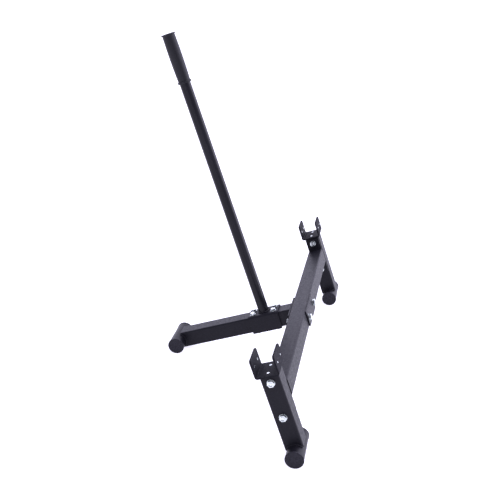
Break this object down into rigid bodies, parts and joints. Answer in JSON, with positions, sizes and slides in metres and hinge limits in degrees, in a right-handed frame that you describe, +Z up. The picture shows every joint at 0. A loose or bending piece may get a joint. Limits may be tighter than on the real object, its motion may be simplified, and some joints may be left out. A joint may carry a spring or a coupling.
{
  "type": "deadlift barbell jack",
  "caption": "Lever jack of black square steel tube on round pipe feet: two lined U cradles lift a loaded barbell when the long gripped handle is pulled back onto the rear foot.",
  "frame": {"origin": "on the floor at the centre of the jack's footprint, with the jack at rest on its three round feet", "axes": "+X to the right along the crossbar, seen from the front with the rear foot pointing away; +Y back from the front feet to the rear foot; +Z up"},
  "size_m": [1.052, 0.5308, 0.9655],
  "materials": {
    "powder_coat": "black fine-texture powder coat, satin",
    "handle_coat": "black powder coat, semi-gloss",
    "grip_rubber": "satin black rubber",
    "cap_plastic": "matte black moulded plastic",
    "liner_plastic": "matte black plastic sheet",
    "rivet_zinc": "bright zinc plate",
    "zinc_steel": "bright zinc plate"
  },
  "bodies": {
    "root": {"clamp_bolts": "zinc_steel", "clamp_head_washers": "zinc_steel", "clamp_nut_washers": "zinc_steel", "clamp_nuts": "zinc_steel", "clamp_plate": "powder_coat", "cradle_left": "powder_coat", "cradle_liner_left": "liner_plastic", "cradle_liner_right": "liner_plastic", "cradle_right": "powder_coat", "cradle_rivets_left": "rivet_zinc", "cradle_rivets_right": "rivet_zinc", "cradle_weld_left": "powder_coat", "cradle_weld_right": "powder_coat", "crossbar": "powder_coat", "crossbar_weld_left": "powder_coat", "crossbar_weld_right": "powder_coat", "end_plate_left": "powder_coat", "end_plate_right": "powder_coat", "foot_cap_left_inner": "cap_plastic", "foot_cap_left_outer": "cap_plastic", "foot_cap_rear_left": "cap_plastic", "foot_cap_rear_right": "cap_plastic", "foot_cap_right_inner": "cap_plastic", "foot_cap_right_outer": "cap_plastic", "foot_pipe_left": "powder_coat", "foot_pipe_rear": "powder_coat", "foot_pipe_right": "powder_coat", "foot_weld_left": "powder_coat", "foot_weld_rear": "powder_coat", "foot_weld_right": "powder_coat", "handle_grip": "grip_rubber", "handle_tube": "handle_coat", "handle_weld": "powder_coat", "leg_flange": "powder_coat", "leg_weld": "powder_coat", "post_bolts": "zinc_steel", "post_head_washers": "zinc_steel", "post_left": "powder_coat", "post_nut_washers": "zinc_steel", "post_nuts": "zinc_steel", "post_right": "powder_coat", "rear_leg": "powder_coat", "saddle": "powder_coat", "saddle_bolts": "zinc_steel", "saddle_head_washers": "zinc_steel", "saddle_nut_washers": "zinc_steel", "saddle_nuts": "zinc_steel"}
  },
  "joints": []
}
